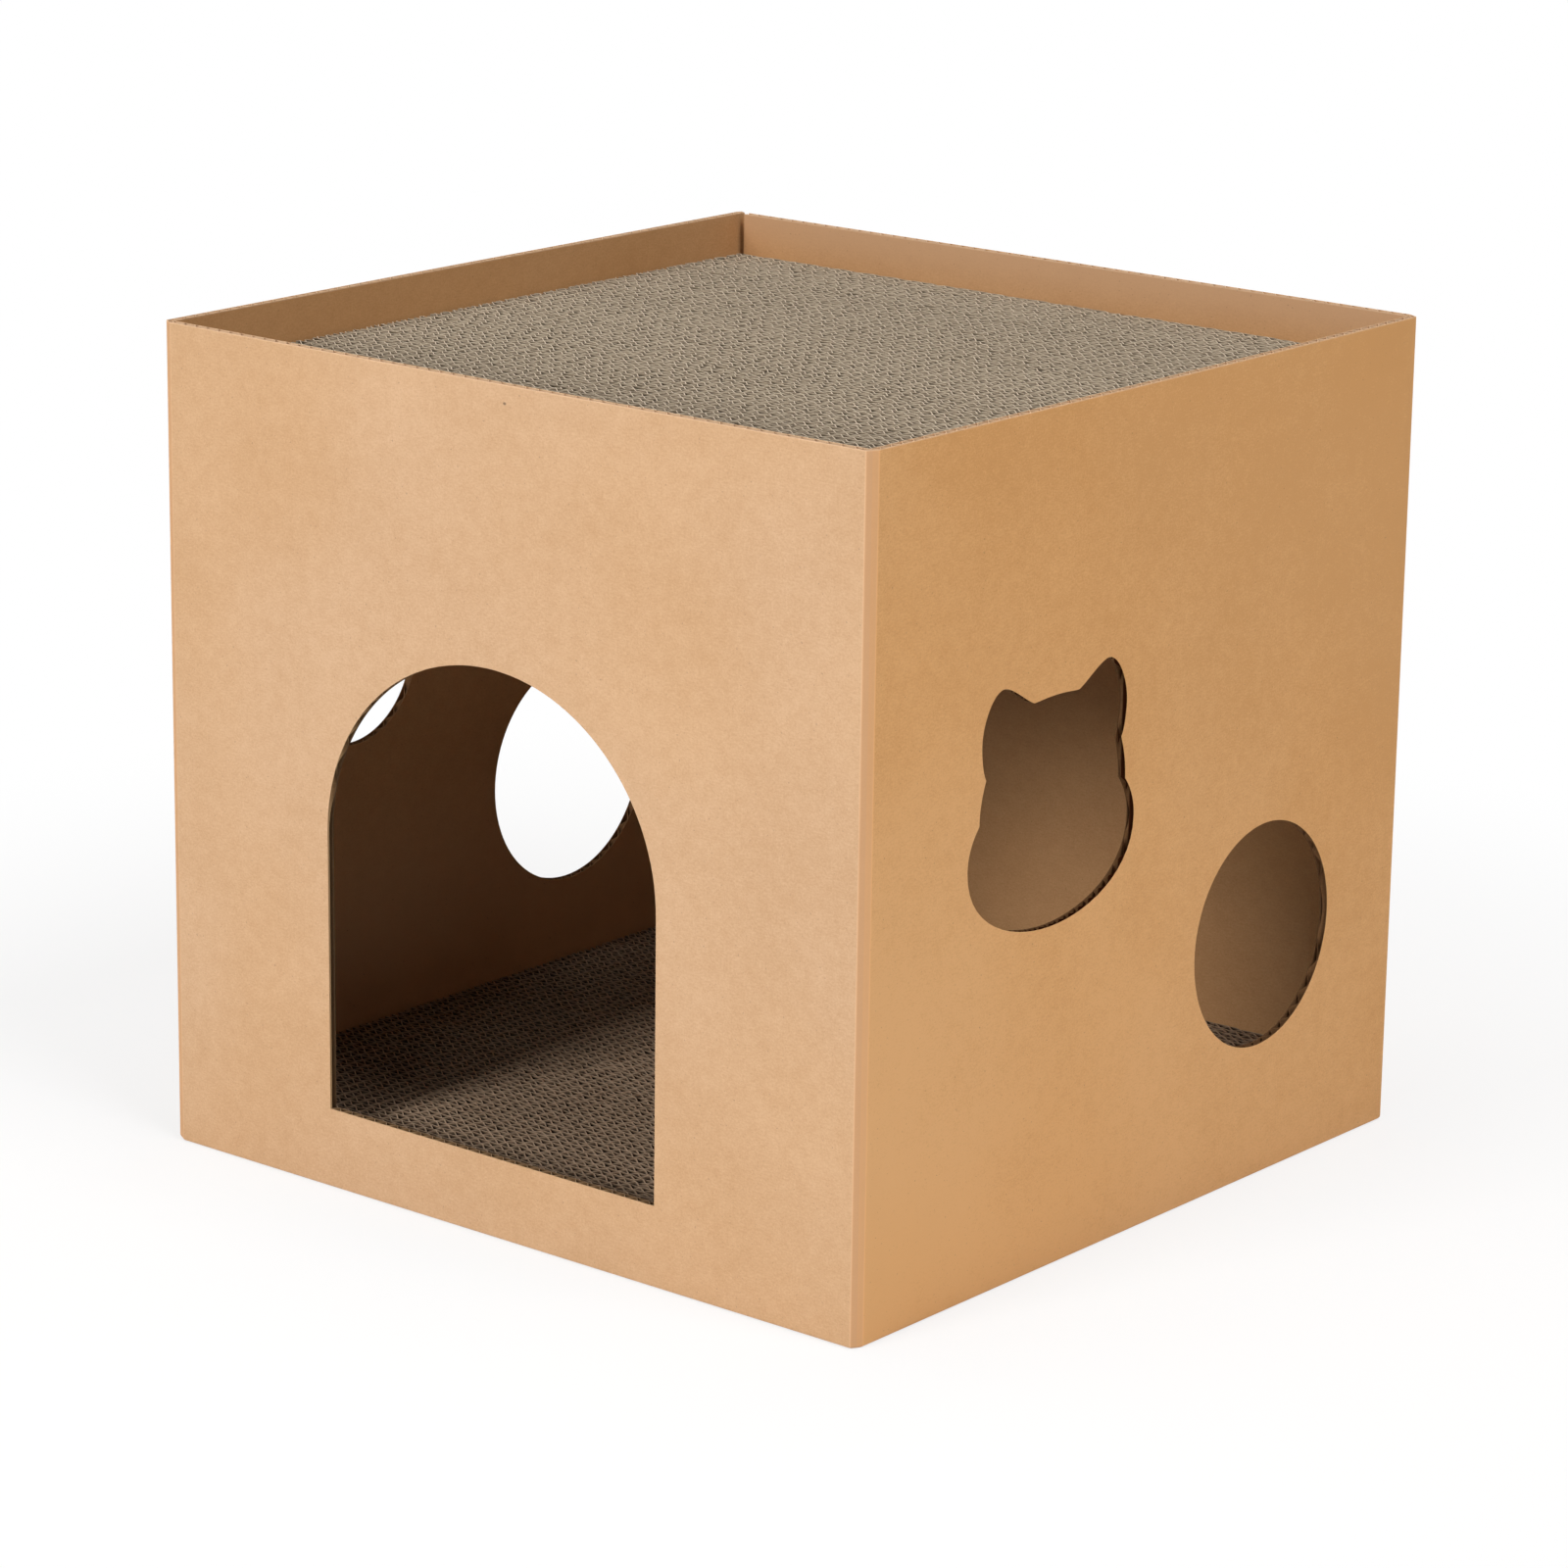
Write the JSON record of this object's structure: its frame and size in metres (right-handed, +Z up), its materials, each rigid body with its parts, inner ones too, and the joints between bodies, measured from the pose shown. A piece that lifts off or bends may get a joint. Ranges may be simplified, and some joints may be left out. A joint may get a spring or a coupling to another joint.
{
  "type": "cardboard cat house",
  "caption": "Square corrugated cardboard cat house with an arched door, a cat-head window, round windows, a floor scratch pad and a recessed scratch pad on top.",
  "frame": {"origin": "on the ground, under the middle of the house", "axes": "+Z up, -Y out of the front wall with the door, +X out of the right wall with the cat-head window"},
  "size_m": [0.42, 0.42, 0.4],
  "materials": {
    "kraft_outside": "matte",
    "kraft_inside": "matte",
    "scratch_pad": "matte"
  },
  "bodies": {
    "sleeve": {"front_wall": "kraft_outside", "right_wall": "kraft_outside", "back_wall": "kraft_outside", "left_wall": "kraft_outside", "glue_tab": "kraft_outside", "inner_flap_front": "kraft_inside", "inner_flap_back": "kraft_inside"},
    "outer_flap_left": {"outer_flap_left": "kraft_inside"},
    "outer_flap_right": {"outer_flap_right": "kraft_inside"},
    "floor_pad": {"floor_scratch_pad": "scratch_pad"},
    "posts": {"post_front_left": "kraft_inside", "post_front_right": "kraft_inside", "post_back_right": "kraft_inside", "post_back_left": "kraft_inside"},
    "shelf": {"shelf_board": "kraft_inside"},
    "top_pad": {"top_scratch_pad": "scratch_pad"}
  },
  "joints": [
    {"name": "outer_flap_left_crease", "type": "hinge", "parent": "sleeve", "child": "outer_flap_left", "pos_m": [-0.208, -0.00215, 0.002], "axis": [0, 1, 0], "range_deg": [0, 180]},
    {"name": "outer_flap_right_crease", "type": "hinge", "parent": "sleeve", "child": "outer_flap_right", "pos_m": [0.208, -0.00215, 0.002], "axis": [0, -1, 0], "range_deg": [0, 180]},
    {"name": "floor_pad_lift", "type": "slide", "parent": "sleeve", "child": "floor_pad", "axis": [0, 0, 1], "range_m": [0, 0.395]},
    {"name": "posts_lift", "type": "slide", "parent": "floor_pad", "child": "posts", "axis": [0, 0, 1], "range_m": [0, 0.375]},
    {"name": "shelf_lift", "type": "slide", "parent": "posts", "child": "shelf", "axis": [0, 0, 1], "range_m": [0, 0.048]},
    {"name": "top_pad_lift", "type": "slide", "parent": "shelf", "child": "top_pad", "axis": [0, 0, 1], "range_m": [0, 0.045]}
  ]
}
